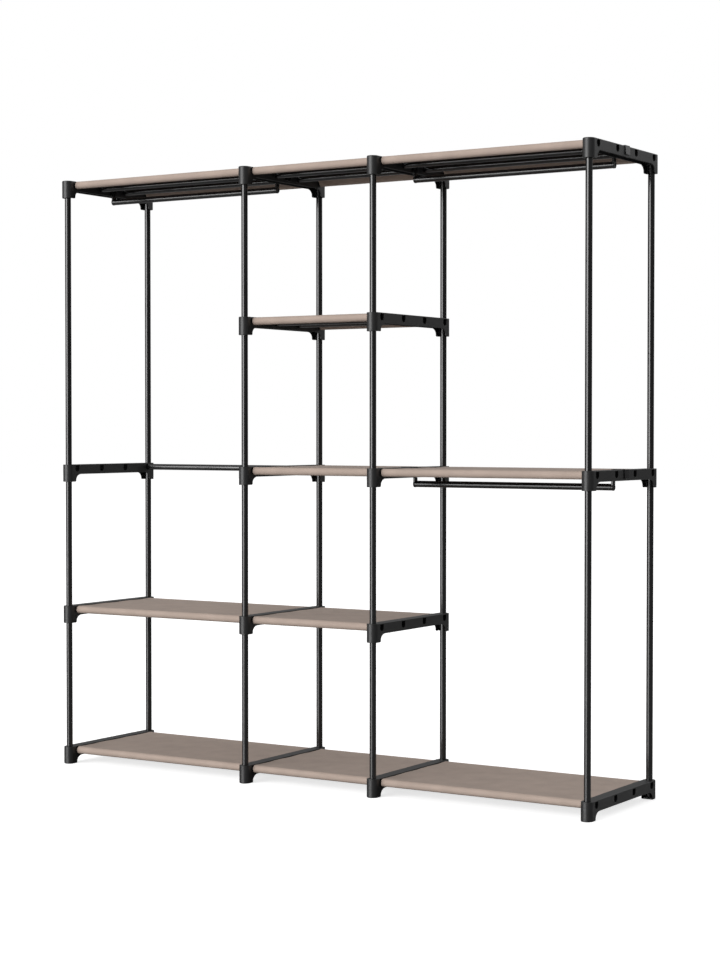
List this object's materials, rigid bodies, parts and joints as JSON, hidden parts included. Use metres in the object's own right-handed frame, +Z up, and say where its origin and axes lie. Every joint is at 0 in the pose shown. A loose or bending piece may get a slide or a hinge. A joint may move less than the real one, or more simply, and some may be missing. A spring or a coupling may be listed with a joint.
{
  "type": "open wardrobe",
  "caption": "Free-standing open wardrobe of steel tubes and moulded side brackets, with cloth shelves and hanging rails that lift off.",
  "frame": {"origin": "floor level, at the middle of the wardrobe's width and depth", "axes": "+Z up, -Y towards the front, +X to the right of someone facing the front"},
  "size_m": [1.8356, 0.435, 1.8233],
  "materials": {
    "tube": "black powder coat, semi-gloss",
    "bracket": "black moulding, fine satin",
    "hanging_rail": "black powder coat with satin moulded hooks",
    "cloth": "taupe non-woven cloth, matt"
  },
  "bodies": {
    "frame": {"bracket_left_end_base": "bracket", "bracket_left_end_lower": "bracket", "bracket_left_end_middle": "bracket", "bracket_left_end_top": "bracket", "bracket_left_inner_base": "bracket", "bracket_left_inner_lower": "bracket", "bracket_left_inner_middle": "bracket", "bracket_left_inner_top": "bracket", "bracket_left_inner_upper": "bracket", "bracket_right_end_base": "bracket", "bracket_right_end_middle": "bracket", "bracket_right_end_top": "bracket", "bracket_right_inner_base": "bracket", "bracket_right_inner_lower": "bracket", "bracket_right_inner_middle": "bracket", "bracket_right_inner_top": "bracket", "bracket_right_inner_upper": "bracket", "cloth_centre_base": "cloth", "cloth_centre_lower": "cloth", "cloth_centre_middle": "cloth", "cloth_centre_top": "cloth", "cloth_centre_upper": "cloth", "cloth_left_base": "cloth", "cloth_left_lower": "cloth", "cloth_left_top": "cloth", "cloth_right_base": "cloth", "cloth_right_middle": "cloth", "cloth_right_top": "cloth", "post_left_end_front": "tube", "post_left_end_rear": "tube", "post_left_inner_front": "tube", "post_left_inner_rear": "tube", "post_right_end_front": "tube", "post_right_end_rear": "tube", "post_right_inner_front": "tube", "post_right_inner_rear": "tube", "rod_base_front": "tube", "rod_base_inner_front": "tube", "rod_base_inner_rear": "tube", "rod_base_rear": "tube", "rod_lower_front": "tube", "rod_lower_inner_front": "tube", "rod_lower_inner_rear": "tube", "rod_lower_rear": "tube", "rod_middle_front": "tube", "rod_middle_inner_front": "tube", "rod_middle_inner_rear": "tube", "rod_middle_rear": "tube", "rod_top_front": "tube", "rod_top_inner_front": "tube", "rod_top_inner_rear": "tube", "rod_top_rear": "tube", "rod_upper_front": "tube", "rod_upper_inner_front": "tube", "rod_upper_inner_rear": "tube", "rod_upper_rear": "tube"},
    "rail_left_top": {"hanging_rail_left_top": "hanging_rail"},
    "rail_right_middle": {"hanging_rail_right_middle": "hanging_rail"},
    "rail_right_top": {"hanging_rail_right_top": "hanging_rail"}
  },
  "joints": [
    {"name": "lift_left_top", "type": "slide", "parent": "frame", "child": "rail_left_top", "axis": [0, 0, 1], "range_m": [0, 0.025]},
    {"name": "lift_right_middle", "type": "slide", "parent": "frame", "child": "rail_right_middle", "axis": [0, 0, 1], "range_m": [0, 0.025]},
    {"name": "lift_right_top", "type": "slide", "parent": "frame", "child": "rail_right_top", "axis": [0, 0, 1], "range_m": [0, 0.025]}
  ]
}
